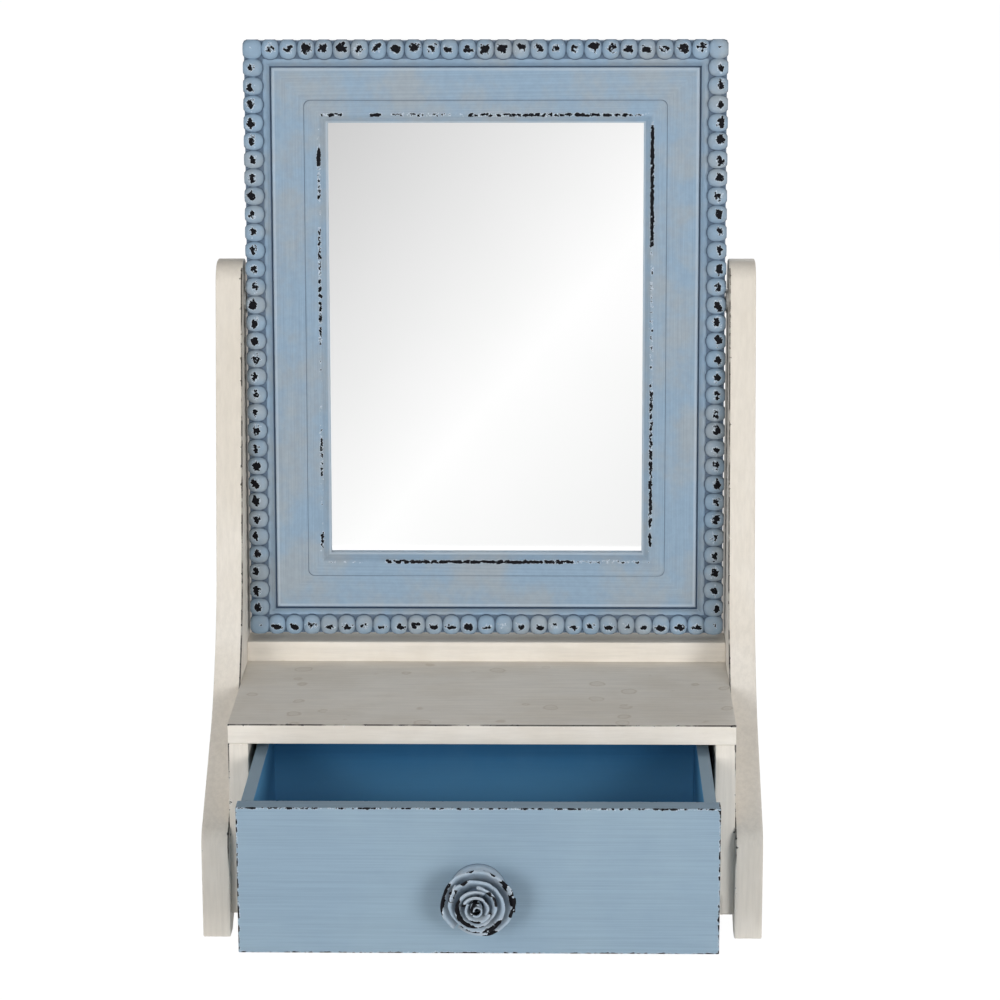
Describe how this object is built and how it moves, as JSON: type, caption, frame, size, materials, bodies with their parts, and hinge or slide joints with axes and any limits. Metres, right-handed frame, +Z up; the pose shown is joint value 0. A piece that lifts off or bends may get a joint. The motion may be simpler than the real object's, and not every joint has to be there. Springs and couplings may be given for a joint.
{
  "type": "vanity mirror with drawer",
  "caption": "Tilting beaded-frame vanity mirror on a swept wooden stand, with a drawer box below that slides out by a rose knob.",
  "frame": {"origin": "on the floor, at the centre of the part's bounding box with the drawer partly open and the mirror at its rest lean", "axes": "+Z up, -Y to the front where the drawer opens, +X to the right as seen from the front"},
  "size_m": [0.304, 0.2844, 0.4709],
  "materials": {
    "bare_board": "bare brown hardboard",
    "bare_wood": "bare softwood",
    "blue_drawer_wood": "matt powder-blue paint with brush strokes, worn edges",
    "blue_frame_wood": "matt powder-blue chalk paint, chipped to near black on the beads and arrises",
    "blue_resin": "cast resin, painted powder blue, dark chips along the petal rims",
    "cream_wood": "matt cream chalk paint with thin worn edges",
    "mirror_silver": "silvered glass",
    "zinc_steel": "zinc-plated steel"
  },
  "bodies": {
    "stand": {"back_rail": "cream_wood", "box_back": "bare_board", "box_bottom": "cream_wood", "box_side_left": "cream_wood", "box_side_right": "cream_wood", "box_top": "cream_wood", "carcass_screws": "zinc_steel", "drawer_guide_left": "bare_wood", "drawer_guide_right": "bare_wood", "pivot_screws": "zinc_steel", "pivot_washers": "zinc_steel", "side_panel_left": "cream_wood", "side_panel_right": "cream_wood"},
    "mirror": {"backing_board": "bare_board", "frame_rail_bottom": "blue_frame_wood", "frame_rail_top": "blue_frame_wood", "frame_stile_left": "blue_frame_wood", "frame_stile_right": "blue_frame_wood", "framing_points": "zinc_steel", "mirror_glass": "mirror_silver"},
    "drawer": {"drawer_back": "blue_drawer_wood", "drawer_bottom": "blue_drawer_wood", "drawer_front": "blue_drawer_wood", "drawer_side_left": "blue_drawer_wood", "drawer_side_right": "blue_drawer_wood", "knob_rosette": "blue_resin", "knob_screw": "zinc_steel", "rose_knob": "blue_resin"}
  },
  "joints": [
    {"name": "mirror_tilt", "type": "hinge", "parent": "stand", "child": "mirror", "pos_m": [0, 0.1237, 0.3238], "axis": [-1, 0, 0], "range_deg": [-25, 35]},
    {"name": "drawer_slide", "type": "slide", "parent": "stand", "child": "drawer", "axis": [0, -1, 0], "range_m": [-0.087, 0.03]}
  ]
}
